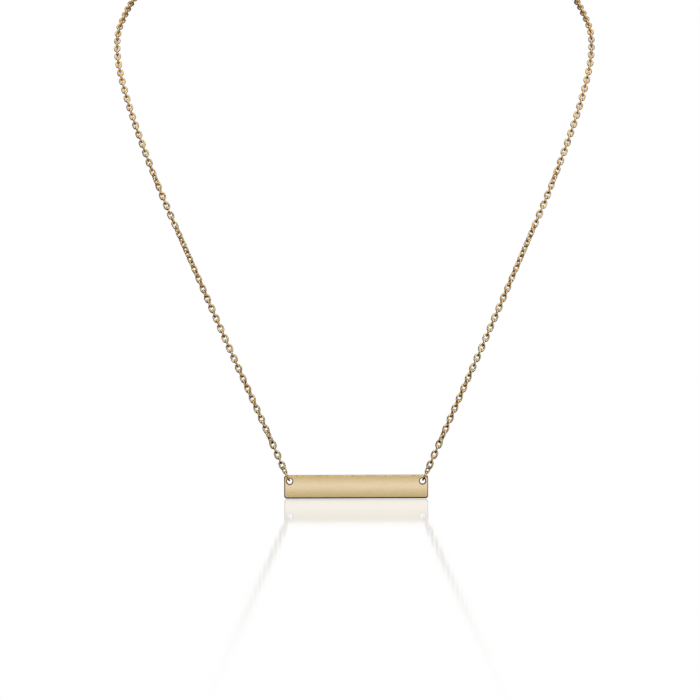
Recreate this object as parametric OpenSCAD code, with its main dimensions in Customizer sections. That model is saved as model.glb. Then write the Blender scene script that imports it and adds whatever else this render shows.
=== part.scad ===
// Bar pendant on a fine cable chain, shaped as it hangs round a neck
// Origin: the middle of the clasp's inner face, where it rests on the nape
// +Z is up, the bar hangs at the front on the -Y side, left and right mirror each other

/* [Bar] */
// Length of the bar from end to end
bar_length = 36; // [30:0.5:42]
// Height of the bar as it hangs
bar_height = 5.9; // [5:0.1:8]
// Thickness of the bar
bar_thickness = 1.5; // [1:0.05:1.6]
// Radius of the bar's four corners, seen from the front
bar_corner_radius = 0.7; // [0.5:0.1:1]
// Radius of the polished rounding round each face
bar_edge_radius = 0.35; // [0.1:0.05:0.4]

/* [Holes in the bar] */
// Radius of the hole for a jump ring
hole_radius = 0.85; // [0.7:0.05:1]
// From the bar's end to the middle of the hole
hole_from_end = 1.4; // [1.3:0.05:2]
// From the bar's upper edge to the middle of the hole
hole_from_top = 1.55; // [1.4:0.05:1.6]
// Width of the chamfer on the rim of the hole
hole_chamfer = 0.1; // [0.05:0.05:0.2]

/* [Jump rings] */
// Outer diameter of a jump ring
ring_outer_diameter = 2.8; // [2.7:0.05:3.2]
// Diameter of a jump ring's wire
ring_wire = 0.45; // [0.35:0.05:0.5]
// Lean of a jump ring outwards from the vertical, in degrees
ring_lean = 26; // [15:1:30]

/* [Chain] */
// Distance from one link's middle to the next
link_pitch = 1.41; // [1.3:0.01:1.6]
// Width of a link
link_width = 1.75; // [1.6:0.05:2]
// Diameter of a link's wire
link_wire = 0.37; // [0.3:0.01:0.4]
// Number of separate links in the front of each strand
front_links = 104; // [90:1:106]

/* [Clasp] */
// Length of the barrel clasp without its eyes
clasp_length = 9; // [7:0.5:12]
// Diameter of the barrel clasp
clasp_diameter = 3; // [2.5:0.1:4]
// Width of the rounding at each end of the barrel
clasp_rounding = 0.6; // [0.3:0.1:1]
// Outer diameter of the eye at each end of the barrel
eye_outer_diameter = 2.2; // [2:0.1:2.6]
// Diameter of the eye's wire
eye_wire = 0.5; // [0.4:0.05:0.6]

/* [Clearances] */
// Gap between pieces that hook into each other
hook_gap = 0.12; // [0.1:0.01:0.15]
// Gap between the hole's rim and the ring that the bar hangs on
swing_gap = 0.08; // [0.05:0.01:0.1]

/* [Hidden] */
$fn = 96;

gold = "#d9bd84";
satin_gold = "#e4cfa3";

// Middle of the bar, and the chain's line at the nape
bar_middle = [0, -95.5, -163];
nape = [0, clasp_diameter / 2, 0];

// Route of the right strand from its jump ring to the nape, as [across, back, up]
strand_route = [
    [24.1, -94.4, -145],
    [30.7, -91.8, -130.5],
    [37, -88.6, -116.5],
    [43, -85.4, -103],
    [49, -81.4, -89.5],
    [54, -77, -77],
    [58.3, -71.2, -65],
    [61.2, -64.7, -54.5],
    [61.9, -58.3, -46.5],
    [60.5, -52, -40.5],
    [58, -44, -34.5],
    [53, -33.5, -27],
    [45.5, -22.5, -18.5],
    [36, -12.5, -10.5],
    [25, -5, -4.5],
    [13, 0, -1]
];

// Slow twist of the strand, as [distance from the ring, turn of the even links from facing front]
link_twist = [
    [0.4, 34], [1.8, 60], [3.2, 88], [7, 90], [9.5, 45], [12, 12], [26, 20], [30, 0], [44, 5],
    [52, 20], [61, 40], [68, 55], [72, 88], [79, 95], [83, 135], [87, 175], [90, 180]
];

// Where the hole's middle is, and where the ring in it sits
hole_middle = bar_middle + [bar_length / 2 - hole_from_end, 0, bar_height / 2 - hole_from_top];
ring_radius = (ring_outer_diameter - ring_wire) / 2;
ring_inner_radius = ring_radius - ring_wire / 2;
rim_half = bar_thickness / 2 - hole_chamfer / 2;
rim_drop = sqrt(pow(ring_inner_radius, 2) - pow(rim_half, 2));
lean_line = [sin(ring_lean), 0, cos(ring_lean)];
ring_middle = hole_middle + (hole_radius + rim_drop - swing_gap) * lean_line;
ring_top = ring_middle + ring_radius * lean_line;

// The route as a smooth curve through its points, and the way along it
steps = 10;
route = concat([ring_top], strand_route, [nape]);
last = len(route) - 1;
function route_point(i) =
    i < 0 ? 2 * route[0] - route[1]
    : i > last ? [-route[2 * last - i].x, route[2 * last - i].y, route[2 * last - i].z]
    : route[i];
function curve(a, b, c, d, t) =
    (2 * b + (c - a) * t + (2 * a - 5 * b + 4 * c - d) * t * t
     + (3 * b - a - 3 * c + d) * t * t * t) / 2;
function along(i, t) =
    curve(route_point(i - 1), route_point(i), route_point(i + 1), route_point(i + 2), t);
line = [for (i = [0 : last - 1], k = [0 : steps - 1]) along(i, k / steps), nape];
way = [for (i = 0, sum = 0; i < len(line); i = i + 1,
            sum = i < len(line) ? sum + norm(line[i] - line[i - 1]) : sum) sum];
line_x = [for (i = [0 : len(line) - 1]) [way[i], line[i].x]];
line_y = [for (i = [0 : len(line) - 1]) [way[i], line[i].y]];
line_z = [for (i = [0 : len(line) - 1]) [way[i], line[i].z]];
strand_length = way[len(way) - 1];
function place(s) = [lookup(s, line_x), lookup(s, line_y), lookup(s, line_z)];
function heading(s) = let (d = place(s + 0.5) - place(s - 0.5)) d / norm(d);

// Sizes that follow from the chain's own
eye_radius = (eye_outer_diameter - eye_wire) / 2;
eye_middle = clasp_length / 2 + eye_radius;
link_reach = link_pitch / 2 + hook_gap / 2;
first_link = link_reach - ring_wire / 2 - hook_gap;
last_link = strand_length - eye_middle - eye_radius - link_reach + eye_wire / 2 + hook_gap;
link_count = round((last_link - first_link) / link_pitch) + 1;
pitch = (last_link - first_link) / (link_count - 1);
end_radius = (link_width - link_wire) / 2;
half_side = round(500 * (pitch + hook_gap + link_wire - 2 * end_radius)) / 1000;
function link_at(i) = first_link + i * pitch;

// Back stretch of the chain, as one tube of the chain's width
tube_sides = 8;
tube_step = 2.5 * link_width;
tube_gap = 0.15;
tube_start = link_at(front_links - 1) + pitch / 2 + hook_gap / 2 + link_wire + tube_gap;
tube_end = strand_length - eye_middle - eye_outer_diameter / 2 - tube_gap;
tube_spans = ceil((tube_end - tube_start) / tube_step);

module bar() {
    color(satin_gold) translate(bar_middle) rotate([90, 0, 0]) difference() {
        bar_plate();
        for (side = [-1, 1])
            translate([side * (bar_length / 2 - hole_from_end), bar_height / 2 - hole_from_top, 0])
                bar_hole();
    }
}

// Lies flat in X and Y, with round corners and every edge of its faces rounded
module bar_plate() {
    long = bar_length - 2 * bar_corner_radius;
    high = bar_height - 2 * bar_corner_radius;
    rotate([90, 0, 90]) linear_extrude(long, center = true) edge_profile(bar_height);
    rotate([90, 0, 0]) linear_extrude(high, center = true) edge_profile(bar_length);
    for (x = [-1, 1], y = [-1, 1]) translate([x * long / 2, y * high / 2, 0]) rotate_extrude()
        intersection() {
            edge_profile(2 * bar_corner_radius);
            translate([0, -bar_thickness]) square([bar_corner_radius, 2 * bar_thickness]);
        }
}

module edge_profile(width) {
    square([width - 2 * bar_edge_radius, bar_thickness], center = true);
    square([width, bar_thickness - 2 * bar_edge_radius], center = true);
    for (x = [-1, 1], y = [-1, 1])
        translate([x * (width / 2 - bar_edge_radius), y * (bar_thickness / 2 - bar_edge_radius)])
            circle(bar_edge_radius);
}

module bar_hole() {
    cylinder(h = bar_thickness + 1, r = hole_radius, center = true);
    for (face = [0, 1]) mirror([0, 0, face])
        translate([0, 0, bar_thickness / 2 - hole_chamfer])
            cylinder(h = 2 * hole_chamfer, r1 = hole_radius, r2 = hole_radius + 2 * hole_chamfer);
}

module wire_ring(radius, wire) {
    rotate_extrude() translate([radius, 0]) circle(d = wire);
}

module jump_ring() {
    color(gold) translate(ring_middle) rotate([0, ring_lean, 0]) rotate([0, 90, 0])
        wire_ring(ring_radius, ring_wire);
}

module link() {
    for (side = [0, 1]) mirror([side, 0, 0]) {
        translate([half_side, 0, 0]) rotate([0, 0, -90])
            rotate_extrude(angle = 180) translate([end_radius, 0]) circle(d = link_wire);
    }
    for (side = [-1, 1]) translate([0, side * end_radius, 0])
        rotate([0, 90, 0]) cylinder(h = 2 * half_side, d = link_wire, center = true);
}

module front_strand() {
    color(gold) for (i = [0 : front_links - 1]) {
        s = link_at(i);
        h = heading(s);
        facing = atan2(h.x, h.y * h.z);
        translate(place(s)) rotate([0, -asin(h.z), atan2(h.y, h.x)])
            rotate([facing + lookup(s, link_twist) + 90 * (i % 2), 0, 0]) link();
    }
}

module back_strand() {
    rings = [for (k = [0 : tube_spans]) let (
        s = tube_start + (tube_end - tube_start) * k / tube_spans,
        h = heading(s), p = place(s),
        across = [-h.y, h.x, 0] / norm([h.x, h.y]), up = cross(h, across))
        [for (j = [0 : tube_sides - 1]) let (a = 360 * (j + 0.5) / tube_sides)
            p + link_width / 2 * (cos(a) * across + sin(a) * up)]];
    sides = [for (k = [0 : tube_spans - 1], j = [0 : tube_sides - 1]) let (n = (j + 1) % tube_sides)
        [k * tube_sides + j, (k + 1) * tube_sides + j, (k + 1) * tube_sides + n, k * tube_sides + n]];
    start_cap = [for (j = [0 : tube_sides - 1]) j];
    end_cap = [for (j = [tube_sides - 1 : -1 : 0]) tube_spans * tube_sides + j];
    color(gold) polyhedron([for (ring = rings) each ring], concat(sides, [start_cap, end_cap]));
}

module clasp() {
    color(gold) translate(nape) rotate([0, 90, 0]) {
        rotate_extrude() clasp_profile();
        for (side = [-1, 1]) translate([0, 0, side * eye_middle]) rotate([90, 0, 0])
            wire_ring(eye_radius, eye_wire);
    }
}

module clasp_profile() {
    half = clasp_length / 2;
    radius = clasp_diameter / 2;
    polygon([
        [0, -half], [radius - clasp_rounding, -half], [radius, -half + clasp_rounding],
        [radius, half - clasp_rounding], [radius - clasp_rounding, half], [0, half]
    ]);
}

bar();
mirror([1, 0, 0]) jump_ring();  // ring_left
jump_ring();  // ring_right
mirror([1, 0, 0]) front_strand();  // chain_left
front_strand();  // chain_right
mirror([1, 0, 0]) back_strand();  // chain_back_left
back_strand();  // chain_back_right
clasp();
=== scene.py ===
import math

import bmesh
import bpy
from mathutils import Matrix, Vector


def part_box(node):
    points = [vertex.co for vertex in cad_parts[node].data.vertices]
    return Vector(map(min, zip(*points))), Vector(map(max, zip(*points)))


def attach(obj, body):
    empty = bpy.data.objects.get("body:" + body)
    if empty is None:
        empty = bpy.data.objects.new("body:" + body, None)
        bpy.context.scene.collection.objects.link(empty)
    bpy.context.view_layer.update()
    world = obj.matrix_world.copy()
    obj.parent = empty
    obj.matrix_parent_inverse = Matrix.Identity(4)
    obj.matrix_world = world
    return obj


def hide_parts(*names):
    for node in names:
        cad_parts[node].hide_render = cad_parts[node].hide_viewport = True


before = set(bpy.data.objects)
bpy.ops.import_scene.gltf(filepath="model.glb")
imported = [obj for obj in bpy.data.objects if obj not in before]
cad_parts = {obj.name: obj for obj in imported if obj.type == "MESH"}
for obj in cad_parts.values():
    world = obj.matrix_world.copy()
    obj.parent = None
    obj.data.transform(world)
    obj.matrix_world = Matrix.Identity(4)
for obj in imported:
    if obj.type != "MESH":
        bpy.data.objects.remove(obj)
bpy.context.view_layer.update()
mm = 0.001
mergeGap = 0.0005 * mm       # vertices closer together than this are one


# small helpers

def deselectAll():
    if bpy.context.object and bpy.context.object.mode != "OBJECT":
        bpy.ops.object.mode_set(mode="OBJECT")
    bpy.ops.object.select_all(action="DESELECT")


def pick(*pieces):
    deselectAll()
    for piece in pieces:
        piece.select_set(True)
    bpy.context.view_layer.objects.active = pieces[0]


def named(name):
    piece = bpy.context.object
    piece.name = name
    piece.data.name = name
    return piece


def applyPlace(piece):
    pick(piece)
    bpy.ops.object.transform_apply(location=True, rotation=True, scale=True)


def openMesh(piece):
    pick(piece)
    bpy.ops.object.mode_set(mode="EDIT")
    bpy.ops.mesh.select_mode(type="VERT")
    bpy.ops.mesh.select_all(action="DESELECT")


def selectVerts(piece, wanted):
    # edit mode only: selects the vertices that the test picks by their place
    bpy.ops.mesh.select_mode(type="VERT")
    bpy.ops.mesh.select_all(action="DESELECT")
    mesh = bmesh.from_edit_mesh(piece.data)
    for vert in mesh.verts:
        vert.select = wanted(vert.co)
    mesh.select_flush(True)
    bmesh.update_edit_mesh(piece.data)


def selectEdges(piece, wanted):
    # edit mode only: selects the edges that the test picks by their two ends
    bpy.ops.mesh.select_mode(type="EDGE")
    bpy.ops.mesh.select_all(action="DESELECT")
    mesh = bmesh.from_edit_mesh(piece.data)
    for edge in mesh.edges:
        edge.select = wanted(edge.verts[0].co, edge.verts[1].co)
    bmesh.update_edit_mesh(piece.data)


def selectFaces(piece, wanted):
    # edit mode only: selects the faces that the test picks by their place and normal
    bpy.ops.mesh.select_mode(type="FACE")
    bpy.ops.mesh.select_all(action="DESELECT")
    mesh = bmesh.from_edit_mesh(piece.data)
    for face in mesh.faces:
        if wanted(face.calc_center_median(), face.normal):
            face.select_set(True)
    bmesh.update_edit_mesh(piece.data)


def closeMesh(piece):
    # doubles go, every face points outwards, and edit mode ends
    bpy.ops.mesh.select_all(action="SELECT")
    bpy.ops.mesh.remove_doubles(threshold=mergeGap)
    bpy.ops.mesh.normals_make_consistent(inside=False)
    bpy.ops.object.mode_set(mode="OBJECT")
    pick(piece)


def applyModifier(piece, kind, **settings):
    pick(piece)
    modifier = piece.modifiers.new(kind.title(), kind)
    for name, value in settings.items():
        setattr(modifier, name, value)
    bpy.ops.object.modifier_apply(modifier=modifier.name)


# camera, at the photo's angle: level, a little above the bar, and rolled by a fifth of a degree

cameraView = {
    "imageWidth": 700,
    "focalPixels": 3200,
    "place": (-1.41, -895.5, -128.84),  # mm
    "roll": 0.2,                        # degrees
    "sensor": 36.0,                     # mm
    "clip": (0.01, 50),                 # m
}


def makeCamera():
    view = cameraView
    bpy.ops.object.camera_add(location=Vector(view["place"]) * mm,
                              rotation=(math.radians(90), math.radians(view["roll"]), 0))
    camera = bpy.context.object
    camera.name = "camera"
    camera.data.sensor_width = view["sensor"]
    camera.data.lens = view["focalPixels"] / view["imageWidth"] * view["sensor"]
    camera.data.clip_start, camera.data.clip_end = view["clip"]
    bpy.context.scene.camera = camera


makeCamera()
print("camera placed")


# materials

noiseLow, noiseHigh = 0.3, 0.7   # nearly all of a noise pattern's values lie between these


def linear(hexColour):
    channels = [int(hexColour[i:i + 2], 16) / 255 for i in (1, 3, 5)]
    return [c / 12.92 if c <= 0.04045 else ((c + 0.055) / 1.055) ** 2.4 for c in channels] + [1]


def addNode(tree, kind, settings=None, links=None):
    node = tree.nodes.new(kind)
    for name, value in (settings or {}).items():
        if isinstance(name, str) and hasattr(node, name):
            setattr(node, name, value)
        else:
            node.inputs[name].default_value = value
    for name, source in (links or {}).items():
        tree.links.new(source, node.inputs[name])
    return node


def newMaterial(name):
    material = bpy.data.materials.new(name)
    material.use_nodes = True
    material.node_tree.nodes.clear()
    return material, material.node_tree


def finishPlate(tree, look, colourPattern, roughPattern, relief=None):
    # the metal itself: its two golds and its two roughnesses blend as the patterns say
    colour = addNode(tree, "ShaderNodeValToRGB", links={"Fac": colourPattern})
    for stop, position, gold in zip(colour.color_ramp.elements, look["blend"], look["golds"]):
        stop.position = position
        stop.color = linear(gold)
    low, high = look["roughness"]
    roughness = addNode(tree, "ShaderNodeMapRange",
                        {"From Min": noiseLow, "From Max": noiseHigh, "To Min": low, "To Max": high},
                        {"Value": roughPattern})
    links = {"Base Color": colour.outputs["Color"], "Roughness": roughness.outputs["Result"]}
    if relief:
        links["Normal"] = relief.outputs["Normal"]
    metal = addNode(tree, "ShaderNodeBsdfPrincipled", {"Metallic": 1.0}, links)
    addNode(tree, "ShaderNodeOutputMaterial", links={"Surface": metal.outputs["BSDF"]})


# Gold-plated brass wire, tumbled bright: mirror-like, so each link shows dark and cream streaks,
# and the plate is a touch redder and duller where it has been rubbed
brightPlate = {
    "golds": ("#e3c391", "#f4e1b6"),   # rubbed, bright
    "blend": (0.3, 0.55),    # values of the pattern between which the first gold turns to the second
    "roughness": (0.18, 0.08),
    "rubSize": 1.6,          # mm, about a link's length
    "grainSize": 0.12,       # mm, the tumbling's fine orange peel
    "grainHeight": 0.002,    # mm
}


def tumbledGoldPlate():
    look = brightPlate
    material, tree = newMaterial("tumbled gold plate")
    place = addNode(tree, "ShaderNodeTexCoord").outputs["Object"]
    rub = addNode(tree, "ShaderNodeTexNoise",
                  {"Scale": 1 / (look["rubSize"] * mm), "Detail": 3.0, "Roughness": 0.55},
                  {"Vector": place})
    grain = addNode(tree, "ShaderNodeTexNoise",
                    {"Scale": 1 / (look["grainSize"] * mm), "Detail": 2.0}, {"Vector": place})
    bump = addNode(tree, "ShaderNodeBump", {"Strength": 0.2, "Distance": look["grainHeight"] * mm},
                   {"Height": grain.outputs["Fac"]})
    finishPlate(tree, look, rub.outputs["Fac"], rub.outputs["Fac"], bump)
    return material


# Gold plate over a face that was rubbed lengthwise with fine grit: a soft, even sheen with
# hairlines along the bar; the real lines are 0.02 mm apart, drawn at 0.12 mm so that they show
satinPlate = {
    "golds": ("#ebd7aa", "#efddb2"),   # deep, pale
    "blend": (0.35, 0.65),
    "roughness": (0.18, 0.26),
    "lineShare": 0.5,        # the hairlines' part in the colour, the rest being cloudy patches
    "lineGap": 0.12,         # mm
    "lineLength": 9.0,       # mm
    "lineDepth": 0.0005,     # mm
    "cloudSize": 6.0,        # mm
}


def satinGoldPlate():
    look = satinPlate
    material, tree = newMaterial("satin gold plate")
    place = addNode(tree, "ShaderNodeTexCoord").outputs["Object"]
    stretch = addNode(tree, "ShaderNodeMapping",
                      {"Scale": (1 / (look["lineLength"] * mm), 1 / (look["lineGap"] * mm),
                                 1 / (look["lineGap"] * mm))}, {"Vector": place})
    lines = addNode(tree, "ShaderNodeTexNoise", {"Scale": 1.0, "Detail": 3.0, "Roughness": 0.6},
                    {"Vector": stretch.outputs["Vector"]})
    clouds = addNode(tree, "ShaderNodeTexNoise", {"Scale": 1 / (look["cloudSize"] * mm), "Detail": 2.0},
                     {"Vector": place})
    patches = addNode(tree, "ShaderNodeMath", {"operation": "MULTIPLY", 1: 1 - look["lineShare"]},
                      {0: clouds.outputs["Fac"]})
    blend = addNode(tree, "ShaderNodeMath", {"operation": "MULTIPLY_ADD", 1: look["lineShare"]},
                    {0: lines.outputs["Fac"], 2: patches.outputs["Value"]})
    bump = addNode(tree, "ShaderNodeBump", {"Strength": 0.3, "Distance": look["lineDepth"] * mm},
                   {"Height": lines.outputs["Fac"]})
    finishPlate(tree, look, blend.outputs["Value"], lines.outputs["Fac"], bump)
    return material


# The same plate on the bar's buffed edges, duller than on the faces and painted a little deeper:
# this deeper gold is painted shade, which draws the face's thin darker outline where the edges reflect
# the dim room
paintedShadeEdgePlate = {
    # painted shade: both golds are deeper than the face's
    "golds": ("#c9ae78", "#dac594"),
    "blend": (0.3, 0.6),
    "roughness": (0.28, 0.36),
    "waveSize": 2.5,         # mm
}


def paintedShadeGoldEdge():
    look = paintedShadeEdgePlate
    material, tree = newMaterial("gold edge with painted shade")
    place = addNode(tree, "ShaderNodeTexCoord").outputs["Object"]
    wave = addNode(tree, "ShaderNodeTexNoise",
                   {"Scale": 1 / (look["waveSize"] * mm), "Detail": 3.0}, {"Vector": place})
    finishPlate(tree, look, wave.outputs["Fac"], wave.outputs["Fac"])
    return material


# Painted shade in and round each hole: the same gold, deeper and duller, coloured dark brown for the
# hole's dark outline
paintedShadeRimPlate = {
    # painted shade: dark browns for the outline round each hole
    "golds": ("#845722", "#a27238"),
    "blend": (0.35, 0.65),
    "roughness": (0.3, 0.42),
    "mottleSize": 0.8,         # mm
}


def paintedShadeGoldRim():
    look = paintedShadeRimPlate
    material, tree = newMaterial("gold rim with painted shade")
    place = addNode(tree, "ShaderNodeTexCoord").outputs["Object"]
    mottle = addNode(tree, "ShaderNodeTexNoise",
                   {"Scale": 1 / (look["mottleSize"] * mm), "Detail": 2.0}, {"Vector": place})
    finishPlate(tree, look, mottle.outputs["Fac"], mottle.outputs["Fac"])
    return material


brightGold = tumbledGoldPlate()
satinGold = satinGoldPlate()
edgeGold = paintedShadeGoldEdge()
rimGold = paintedShadeGoldRim()
print("materials made")


# bar: a plate with soft corners, a faint crown on both faces, rounded edges and two drilled holes

barShape = {
    "cornerRadius": 0.7,     # mm
    "cornerSteps": 8,
    "edgeRadius": 0.35,
    "edgeSteps": 6,
    "sharpAngle": 60,        # degrees, an edge is rounded where the plate turns by more
    "smoothAngle": 32,
    "crown": 0.13,           # how far each face falls back at its upper and lower edge
    "crownRows": (-1.9, -0.95, 0.0, 0.95, 1.9),
    "holeField": 3.4,        # the stretch at each end that the hole is cut in
    "holeRadius": 0.67,
    "holeSides": 48,
    "holeFromEnd": 1.4,
    "holeFromTop": 1.55,
    "rimWidth": 0.28,
    "rimSlack": 0.01,        # past the rim, so that its outermost faces are picked too
    "drillReach": 0.5,       # past the flare, so that the drill comes out of the plate
    "flatLimit": 0.985,      # cosine of the angle from straight ahead at which a face is edge or rim
}


def makeHoleCutter(centre, thickness):
    # a drill with flared ends, which leaves a chamfer on both faces; it grows from the plate's
    # middle to the chamfer's foot, flares out to twice the rim's width and goes on past the face
    shape = barShape
    rim = shape["rimWidth"]
    bpy.ops.mesh.primitive_circle_add(vertices=shape["holeSides"], radius=shape["holeRadius"] * mm,
                                      location=centre, rotation=(math.radians(90), 0, 0))
    cutter = named("hole cutter")
    pick(cutter)
    bpy.ops.object.transform_apply(location=False, rotation=True, scale=False)
    openMesh(cutter)
    bpy.ops.mesh.select_all(action="SELECT")
    bpy.ops.mesh.extrude_region_move(TRANSFORM_OT_translate={"value": (0, rim * mm - thickness / 2, 0)})
    bpy.ops.mesh.extrude_region_move(TRANSFORM_OT_translate={"value": (0, -2 * rim * mm, 0)})
    grow = (shape["holeRadius"] + 2 * rim) / shape["holeRadius"]
    bpy.ops.transform.resize(value=(grow, 1, grow), center_override=centre)
    bpy.ops.mesh.extrude_region_move(TRANSFORM_OT_translate={"value": (0, -shape["drillReach"] * mm, 0)})
    bpy.ops.mesh.edge_face_add()
    bpy.ops.object.mode_set(mode="OBJECT")
    # the other half mirrors the first one
    applyModifier(cutter, "MIRROR", use_axis=(False, True, False), mirror_object=None,
                  use_mirror_merge=True, merge_threshold=2 * mergeGap)
    openMesh(cutter)
    closeMesh(cutter)
    return cutter


def makeBar():
    shape = barShape
    low, high = (Vector(corner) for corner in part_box("bar"))
    centre = (low + high) / 2
    length, thickness, height = high - low
    deselectAll()
    bpy.ops.mesh.primitive_cube_add(size=1, location=centre, scale=(length, thickness, height))
    bar = named("bar_plate")
    applyPlace(bar)
    openMesh(bar)
    selectEdges(bar, lambda a, b: abs(a.y - b.y) > thickness / 2)
    bpy.ops.mesh.bevel(offset=shape["cornerRadius"] * mm, segments=shape["cornerSteps"], affect="EDGES")
    for row in shape["crownRows"]:
        bpy.ops.mesh.select_all(action="SELECT")
        bpy.ops.mesh.bisect(plane_co=centre + Vector((0, 0, row * mm)), plane_no=(0, 0, 1))
    for side in (-1, 1):
        bpy.ops.mesh.select_all(action="SELECT")
        field = centre + Vector((side * (length / 2 - shape["holeField"] * mm), 0, 0))
        bpy.ops.mesh.bisect(plane_co=field, plane_no=(1, 0, 0))
    # each height of the plate gets its own thickness, so the faces bow outwards in the middle
    verts = bmesh.from_edit_mesh(bar.data).verts
    heights = sorted({round((vert.co.z - centre.z) / mm, 4) for vert in verts})
    for level in heights:
        selectVerts(bar, lambda co: abs((co.z - centre.z) / mm - level) < mergeGap / mm)
        thin = 1 - 2 * shape["crown"] * mm * (level * mm / (height / 2)) ** 2 / thickness
        bpy.ops.transform.resize(value=(1, thin, 1), center_override=centre)
    bpy.ops.mesh.select_mode(type="EDGE")
    bpy.ops.mesh.select_all(action="DESELECT")
    bpy.ops.mesh.edges_select_sharp(sharpness=math.radians(shape["sharpAngle"]))
    bpy.ops.mesh.bevel(offset=shape["edgeRadius"] * mm, segments=shape["edgeSteps"], affect="EDGES")
    closeMesh(bar)
    holes = [centre + Vector((side * (length / 2 - shape["holeFromEnd"] * mm), 0,
                              height / 2 - shape["holeFromTop"] * mm)) for side in (-1, 1)]
    for hole in holes:
        cutter = makeHoleCutter(hole, thickness)
        applyModifier(bar, "BOOLEAN", operation="DIFFERENCE", object=cutter, solver="EXACT")
        bpy.data.objects.remove(cutter)
    bar.data.materials.append(satinGold)
    bar.data.materials.append(edgeGold)
    bar.data.materials.append(rimGold)
    openMesh(bar)
    # the rounded edges, ends and hole walls take the deeper edge gold, which is painted shade for the
    # face's outline
    selectFaces(bar, lambda middle, normal: abs(normal.y) < shape["flatLimit"])
    bar.active_material_index = 1
    bpy.ops.object.material_slot_assign()
    # the chamfers and walls round each hole take the dark brown rim gold: painted shade in and round the
    # hole
    rimEdge = (shape["holeRadius"] + shape["rimWidth"] + shape["rimSlack"]) * mm
    selectFaces(bar, lambda middle, normal: abs(normal.y) < shape["flatLimit"]
                and min(math.hypot(middle.x - hole.x, middle.z - hole.z) for hole in holes) < rimEdge)
    bar.active_material_index = 2
    bpy.ops.object.material_slot_assign()
    bpy.ops.object.mode_set(mode="OBJECT")
    bpy.ops.object.shade_smooth_by_angle(angle=math.radians(shape["smoothAngle"]))
    applyModifier(bar, "WEIGHTED_NORMAL", keep_sharp=True)
    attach(bar, "bar")
    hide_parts("bar")


makeBar()
print("bar made")


# jump rings: round wire, closed with a hairline joint at the back

ringShape = {
    "outerDiameter": 2.8,    # mm
    "wire": 0.45,
    "wireSides": 12,
    "steps": 60,
    "lean": 26.0,            # degrees from the vertical
    "jointAt": 100.0,        # degrees round the ring from its lowest point, towards the back
    "jointGap": 0.03,        # mm
    "smoothAngle": 50,       # degrees
}
ringRadius = (ringShape["outerDiameter"] - ringShape["wire"]) / 2


def ringMiddle():
    low, high = (Vector(corner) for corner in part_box("ring_right"))
    return (low + high) / 2


def makeRing():
    shape = ringShape
    start = math.radians(shape["jointAt"])
    opening = shape["jointGap"] / ringRadius
    deselectAll()
    bpy.ops.mesh.primitive_circle_add(
        vertices=shape["wireSides"], radius=shape["wire"] / 2 * mm, fill_type="NGON",
        location=Vector((math.cos(start), math.sin(start), 0)) * ringRadius * mm,
        rotation=(math.radians(90), 0, start))
    ring = named("jump_ring_right")
    applyPlace(ring)
    openMesh(ring)
    bpy.ops.mesh.select_all(action="SELECT")
    bpy.ops.mesh.spin(steps=shape["steps"], angle=math.tau - opening, center=(0, 0, 0), axis=(0, 0, 1))
    closeMesh(ring)
    ring.matrix_world = Matrix.Translation(ringMiddle()) @ Matrix.Rotation(
        math.radians(90 + shape["lean"]), 4, "Y")
    applyPlace(ring)
    ring.data.materials.append(brightGold)
    bpy.ops.object.shade_smooth_by_angle(angle=math.radians(shape["smoothAngle"]))
    return ring


def mirroredCopy(piece, name):
    # a copy for the other side, turned right side out again
    pick(piece)
    bpy.ops.object.duplicate()
    copy = named(name)
    openMesh(copy)
    bpy.ops.mesh.select_all(action="SELECT")
    bpy.ops.transform.resize(value=(-1, 1, 1), center_override=(0, 0, 0))
    bpy.ops.mesh.flip_normals()
    bpy.ops.object.mode_set(mode="OBJECT")
    return copy


def finishRings():
    right = makeRing()
    left = mirroredCopy(right, "jump_ring_left")
    for ring, node in ((right, "ring_right"), (left, "ring_left")):
        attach(ring, "necklace")
        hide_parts(node)


finishRings()
print("jump rings made")


# clasp: a screw barrel with an eye at each end

claspShape = {
    "eyeDiameter": 2.2,      # mm
    "eyeWire": 0.5,
    "eyeSteps": 36,
    "eyeWireSides": 12,
    "barrelSides": 40,
    "endRounding": 0.6,
    "endSteps": 5,
    "seamHalf": 0.12,        # half the width of the line where the two halves meet
    "seamShoulder": 0.216,   # half the width that the barrel narrows over
    "seamDepth": 0.12,
    "sharpAngle": 60,        # degrees
    "smoothAngle": 35,
}


def claspPlace():
    # the middle and the size of the solid clasp
    low, high = (Vector(corner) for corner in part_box("clasp"))
    return (low + high) / 2, high - low


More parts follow.
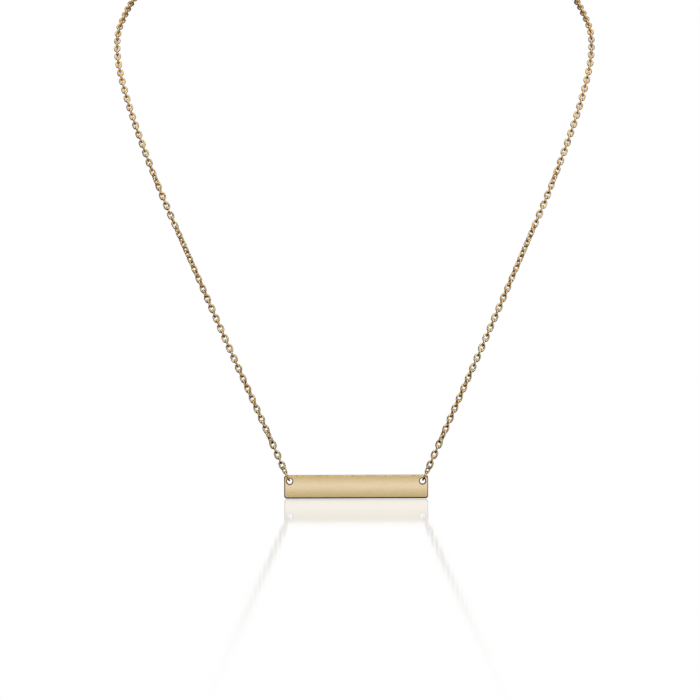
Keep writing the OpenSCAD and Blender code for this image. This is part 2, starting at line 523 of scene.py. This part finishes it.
def makeClasp():
    shape = claspShape
    centre, size = claspPlace()
    eyeRadius = (shape["eyeDiameter"] - shape["eyeWire"]) / 2 * mm
    barrel = size.x - 2 * (eyeRadius + shape["eyeDiameter"] / 2 * mm)
    radius = size.z / 2
    deselectAll()
    bpy.ops.mesh.primitive_cylinder_add(vertices=shape["barrelSides"], radius=radius, depth=barrel,
                                        location=centre, rotation=(0, math.radians(90), 0))
    clasp = named("barrel_clasp")
    applyPlace(clasp)
    openMesh(clasp)
    bpy.ops.mesh.select_mode(type="EDGE")
    bpy.ops.mesh.edges_select_sharp(sharpness=math.radians(shape["sharpAngle"]))
    bpy.ops.mesh.bevel(offset=shape["endRounding"] * mm, segments=shape["endSteps"], affect="EDGES")
    half = shape["seamHalf"] * mm
    shoulder = shape["seamShoulder"] * mm
    for cut in (-shoulder, -half, half, shoulder):
        bpy.ops.mesh.select_all(action="SELECT")
        bpy.ops.mesh.bisect(plane_co=centre + Vector((cut, 0, 0)), plane_no=(1, 0, 0))
    selectVerts(clasp, lambda co: abs(co.x - centre.x) < half + mergeGap)
    inset = 1 - shape["seamDepth"] * mm / radius
    bpy.ops.transform.resize(value=(1, inset, inset), center_override=centre)
    closeMesh(clasp)
    eyes = []
    for side in (-1, 1):
        deselectAll()
        bpy.ops.mesh.primitive_torus_add(
            major_segments=shape["eyeSteps"], minor_segments=shape["eyeWireSides"],
            major_radius=eyeRadius, minor_radius=shape["eyeWire"] / 2 * mm,
            rotation=(math.radians(90), 0, 0),
            location=centre + Vector((side * (barrel / 2 + eyeRadius), 0, 0)))
        eyes.append(bpy.context.object)
        applyPlace(eyes[-1])
    for eye in eyes:
        applyModifier(clasp, "BOOLEAN", operation="UNION", object=eye, solver="EXACT")
        bpy.data.objects.remove(eye)
    pick(clasp)
    clasp.data.materials.clear()
    clasp.data.materials.append(brightGold)
    bpy.ops.object.shade_smooth_by_angle(angle=math.radians(shape["smoothAngle"]))
    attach(clasp, "necklace")
    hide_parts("clasp")


makeClasp()
print("clasp made")


# chain: oval cable links along the same route as the solid chain, from the ring to the clasp

chainRoute = {
    "points": (              # mm, right strand from the ring to the nape
        (24.1, -94.4, -145), (30.7, -91.8, -130.5), (37, -88.6, -116.5), (43, -85.4, -103),
        (49, -81.4, -89.5), (54, -77, -77), (58.3, -71.2, -65), (61.2, -64.7, -54.5),
        (61.9, -58.3, -46.5), (60.5, -52, -40.5), (58, -44, -34.5), (53, -33.5, -27),
        (45.5, -22.5, -18.5), (36, -12.5, -10.5), (25, -5, -4.5), (13, 0, -1)),
    "steps": 10,
}
chainShape = {
    "pitch": 1.41,           # mm
    "width": 1.57,           # with a 0.37 mm wire
    "wire": 0.37,            # sets the distances between the links, and is the first link's own wire
    "drawnWire": 0.503,      # every other link's, which makes those links 1.70 mm wide
    "hookGap": 0.12,         # spare length in each hook, which sets how far the first and last links sit
    "restGap": 0.14,         # what is left of it between two links that hang in each other
    "wireSides": 6,
    "endSteps": 5,
    "headingReach": 0.5,     # a link points along the line between two points this far to both sides
    "twist": (               # mm from the ring, degrees that the even links are turned from facing front
        (0.4, 45), (1.8, 72), (3.2, 90), (7, 90), (9.5, 45), (12, 12), (26, 20), (30, 0), (44, 5),
        (52, 20), (61, 40), (68, 55), (72, 88), (79, 95), (83, 135), (87, 175), (90, 180),
        (150, 180), (225, 270)),
}


def lookup(distance, table):
    # straight-line reading between the table's rows, flat beyond its ends
    if distance <= table[0][0]:
        return table[0][1]
    for (before, low), (after, high) in zip(table, table[1:]):
        if distance <= after:
            return low + (high - low) * ((distance - before) / (after - before))
    return table[-1][1]


def strandLine():
    # the strand's middle line as a Catmull-Rom curve, in rows of the distance so far and the point
    lean = math.radians(ringShape["lean"])
    ringTop = ringMiddle() / mm + ringRadius * Vector((math.sin(lean), 0, math.cos(lean)))
    nape = claspPlace()[0] / mm
    route = [ringTop] + [Vector(point) for point in chainRoute["points"]] + [nape]
    last = len(route) - 1

    def routePoint(i):
        if i < 0:
            return 2 * route[0] - route[1]
        if i > last:
            point = route[2 * last - i]
            return Vector((-point.x, point.y, point.z))
        return route[i]

    def along(i, t):
        a, b, c, d = (routePoint(i + k) for k in (-1, 0, 1, 2))
        return (2 * b + (c - a) * t + (2 * a - 5 * b + 4 * c - d) * t ** 2
                + (3 * b - a - 3 * c + d) * t ** 3) / 2

    steps = chainRoute["steps"]
    points = [along(i, k / steps) for i in range(last) for k in range(steps)] + [nape]
    table = [(0.0, points[0])]
    for before, after in zip(points, points[1:]):
        table.append((table[-1][0] + (after - before).length, after))
    return table


def makeLink(halfSide, endRadius, wire):
    # one link, lying in X and Y and long in X
    shape = chainShape
    deselectAll()
    bpy.ops.mesh.primitive_circle_add(
        vertices=shape["wireSides"], radius=wire / 2 * mm, fill_type="NOTHING",
        location=(halfSide * mm, -endRadius * mm, 0), rotation=(0, math.radians(90), 0))
    link = named("link")
    applyPlace(link)
    openMesh(link)
    bpy.ops.mesh.select_all(action="SELECT")
    bpy.ops.mesh.spin(steps=shape["endSteps"], angle=-math.pi, axis=(0, 0, 1),
                      center=(halfSide * mm, 0, 0))
    bpy.ops.mesh.extrude_region_move(TRANSFORM_OT_translate={"value": (-2 * halfSide * mm, 0, 0)})
    bpy.ops.mesh.spin(steps=shape["endSteps"], angle=-math.pi, axis=(0, 0, 1),
                      center=(-halfSide * mm, 0, 0))
    # the second long side joins the wire's two open ends
    selectVerts(link, lambda co: co.y < 0 and abs(abs(co.x) - halfSide * mm) < mergeGap)
    bpy.ops.mesh.select_mode(type="EDGE")
    bpy.ops.mesh.bridge_edge_loops()
    closeMesh(link)
    link.data.materials.append(brightGold)
    bpy.ops.object.shade_smooth()
    return link


def makeStrand():
    shape = chainShape
    line = strandLine()
    length = line[-1][0]
    clasp = claspShape
    eyeRadius = (clasp["eyeDiameter"] - clasp["eyeWire"]) / 2
    eyeMiddle = claspPlace()[1].x / mm / 2 - clasp["eyeDiameter"] / 2
    # the middles of the first and the last link, in mm along the line
    reach = shape["pitch"] / 2 + shape["hookGap"] / 2
    first = reach - ringShape["wire"] / 2 - shape["hookGap"]
    last = length - eyeMiddle - eyeRadius - reach + clasp["eyeWire"] / 2 + shape["hookGap"]
    count = round((last - first) / shape["pitch"]) + 1
    pitch = (last - first) / (count - 1)
    endRadius = (shape["width"] - shape["wire"]) / 2
    halfSide = (pitch + shape["restGap"] + shape["wire"] - 2 * endRadius) / 2
    link = makeLink(halfSide, endRadius, shape["drawnWire"])
    # the first link is thinner, because the bar's corner comes close to it when the bar swings
    firstLink = makeLink(halfSide, endRadius, shape["wire"])
    links = []
    for i in range(count):
        distance = first + i * pitch
        ahead = lookup(distance + shape["headingReach"], line)
        behind = lookup(distance - shape["headingReach"], line)
        heading = (ahead - behind).normalized()
        # the turn about the heading at which a link shows its flat side to the front
        facing = math.atan2(heading.x, heading.y * heading.z)
        turn = facing + math.radians(lookup(distance, shape["twist"]) + 90 * (i % 2))
        pick(link if i else firstLink)
        bpy.ops.object.duplicate()
        copy = bpy.context.object
        copy.matrix_world = (Matrix.Translation(lookup(distance, line) * mm)
                             @ Matrix.Rotation(math.atan2(heading.y, heading.x), 4, "Z")
                             @ Matrix.Rotation(-math.asin(heading.z), 4, "Y")
                             @ Matrix.Rotation(turn, 4, "X"))
        links.append(copy)
    bpy.data.objects.remove(link)
    bpy.data.objects.remove(firstLink)
    pick(*links)
    bpy.ops.object.join()
    strand = named("chain_strand_right")
    applyPlace(strand)
    print("links in a strand:", count)
    return strand


def finishChain():
    right = makeStrand()
    left = mirroredCopy(right, "chain_strand_left")
    for strand, side in ((right, "right"), (left, "left")):
        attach(strand, "necklace")
        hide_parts("chain_" + side, "chain_back_" + side)


finishChain()
print("chain made")


# floor: plain and white, with the faint mirror image that a glossy tabletop gives, in a strip
# in front of the bar alone

floorLook = {
    "below": 0.05,           # mm under the bar
    "size": 6000,            # mm
    "white": "#ffffff",
    "mirror": 0.33,          # share of the mirror image close to the bar
    "front": (-200, -620),   # mm, where the image starts to fade in front of the bar, and where it ends
    "back": (-92, -60),      # the same behind the bar
    "side": (22, 48),        # the same to both sides
    "roughness": 0.05,
}


def glossyTabletop():
    look = floorLook
    material, tree = newMaterial("glossy white tabletop")
    place = addNode(tree, "ShaderNodeTexCoord").outputs["Object"]
    across = addNode(tree, "ShaderNodeSeparateXYZ", links={"Vector": place})
    aside = addNode(tree, "ShaderNodeMath", {"operation": "ABSOLUTE"}, {0: across.outputs["X"]})
    fades = []
    for name, source in (("front", across.outputs["Y"]), ("back", across.outputs["Y"]),
                         ("side", aside.outputs["Value"])):
        start, end = look[name]
        fades.append(addNode(tree, "ShaderNodeMapRange",
                             {"interpolation_type": "SMOOTHSTEP", "From Min": start * mm,
                              "From Max": end * mm, "To Min": 1.0, "To Max": 0.0}, {"Value": source}))
    patch = addNode(tree, "ShaderNodeMath", {"operation": "MULTIPLY"},
                    {0: fades[0].outputs["Result"], 1: fades[1].outputs["Result"]})
    patch = addNode(tree, "ShaderNodeMath", {"operation": "MULTIPLY"},
                    {0: patch.outputs["Value"], 1: fades[2].outputs["Result"]})
    share = addNode(tree, "ShaderNodeMath", {"operation": "MULTIPLY", 1: look["mirror"]},
                    {0: patch.outputs["Value"]})
    white = addNode(tree, "ShaderNodeEmission", {"Color": linear(look["white"]), "Strength": 1.0})
    mirror = addNode(tree, "ShaderNodeBsdfAnisotropic",
                     {"Color": linear(look["white"]), "Roughness": look["roughness"]})
    mix = addNode(tree, "ShaderNodeMixShader",
                  links={0: share.outputs["Value"], 1: white.outputs["Emission"],
                         2: mirror.outputs["BSDF"]})
    addNode(tree, "ShaderNodeOutputMaterial", links={"Surface": mix.outputs["Shader"]})
    return material


def makeFloor():
    look = floorLook
    deselectAll()
    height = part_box("bar")[0][2] - look["below"] * mm
    bpy.ops.mesh.primitive_plane_add(size=look["size"] * mm, location=(0, 0, height))
    floor = named("floor")
    applyPlace(floor)
    floor.data.materials.append(glossyTabletop())
    floor.visible_glossy = False     # the gold mirrors the room below it, not the white floor


makeFloor()


# light: soft boxes in a dim room, with white behind the necklace

room = {
    "low": "#160d05",
    "high": "#8a6a3c",
    "rise": (0.35, 0.8),     # upward part of a direction between which the walls turn from low to high
    "white": "#ffffff",
    "whiteCone": (0.97, 0.985),   # cosine of the angle from straight back at which the white begins
}
softBoxes = {                # place and size in mm, brightness where 1 is white, colour
    "front box": ((350, -1500, -190), (2200, 900), 0.67, "#fff3d4"),
    "front strip": ((0, -1450, -195), (1300, 170), 1.0, "#bccbff"),
    "key box": ((250, -1250, 560), (700, 400), 3.0, "#fffaf0"),
    "right box": ((1150, -500, -60), (400, 1000), 1.3, "#fff6e4"),
    "left front box": ((-1000, -1250, -300), (800, 700), 0.42, "#fff3d4"),
    "left box": ((-1150, -500, -120), (500, 1100), 0.35, "#fff6e4"),
    "back right box": ((900, 900, -300), (800, 700), 0.3, "#fff6e4"),
    "back left box": ((-900, 900, -300), (800, 700), 0.3, "#fff6e4"),
    "top box": ((0, -350, 900), (1800, 1100), 1.15, "#fff6e4"),
}
aim = (0, -90, -130)         # mm, which every box faces


def makeRoom():
    world = bpy.data.worlds.new("room")
    bpy.context.scene.world = world
    world.use_nodes = True
    tree = world.node_tree
    tree.nodes.clear()
    direction = addNode(tree, "ShaderNodeTexCoord").outputs["Generated"]
    parts = addNode(tree, "ShaderNodeSeparateXYZ", links={"Vector": direction})
    low, high = room["whiteCone"]
    cone = addNode(tree, "ShaderNodeMapRange", {"From Min": low, "From Max": high},
                   {"Value": parts.outputs["Y"]})
    seen = addNode(tree, "ShaderNodeLightPath").outputs["Is Camera Ray"]
    white = addNode(tree, "ShaderNodeMath", {"operation": "MAXIMUM"},
                    {0: cone.outputs["Result"], 1: seen})
    low, high = room["rise"]
    height = addNode(tree, "ShaderNodeMapRange", {"From Min": low, "From Max": high},
                     {"Value": parts.outputs["Z"]})
    walls = addNode(tree, "ShaderNodeValToRGB", links={"Fac": height.outputs["Result"]})
    walls.color_ramp.elements[0].color = linear(room["low"])
    walls.color_ramp.elements[1].color = linear(room["high"])
    dimLight = addNode(tree, "ShaderNodeBackground", links={"Color": walls.outputs["Color"]})
    whiteLight = addNode(tree, "ShaderNodeBackground", {"Color": linear(room["white"])})
    mix = addNode(tree, "ShaderNodeMixShader",
                  links={0: white.outputs["Value"], 1: dimLight.outputs["Background"],
                         2: whiteLight.outputs["Background"]})
    addNode(tree, "ShaderNodeOutputWorld", links={"Surface": mix.outputs["Shader"]})


def makeLights():
    for name, (place, size, brightness, colour) in softBoxes.items():
        towards = (Vector(aim) - Vector(place)).to_track_quat("-Z", "Y").to_euler()
        bpy.ops.object.light_add(type="AREA", location=Vector(place) * mm, rotation=towards)
        light = bpy.context.object
        light.name = name
        light.data.shape = "RECTANGLE"
        light.data.size, light.data.size_y = (side * mm for side in size)
        light.data.color = linear(colour)[:3]
        light.data.energy = brightness * math.pi * light.data.size * light.data.size_y
        light.visible_camera = False


makeRoom()
makeLights()
bpy.context.scene.view_settings.view_transform = "Standard"
print("floor and lights made")
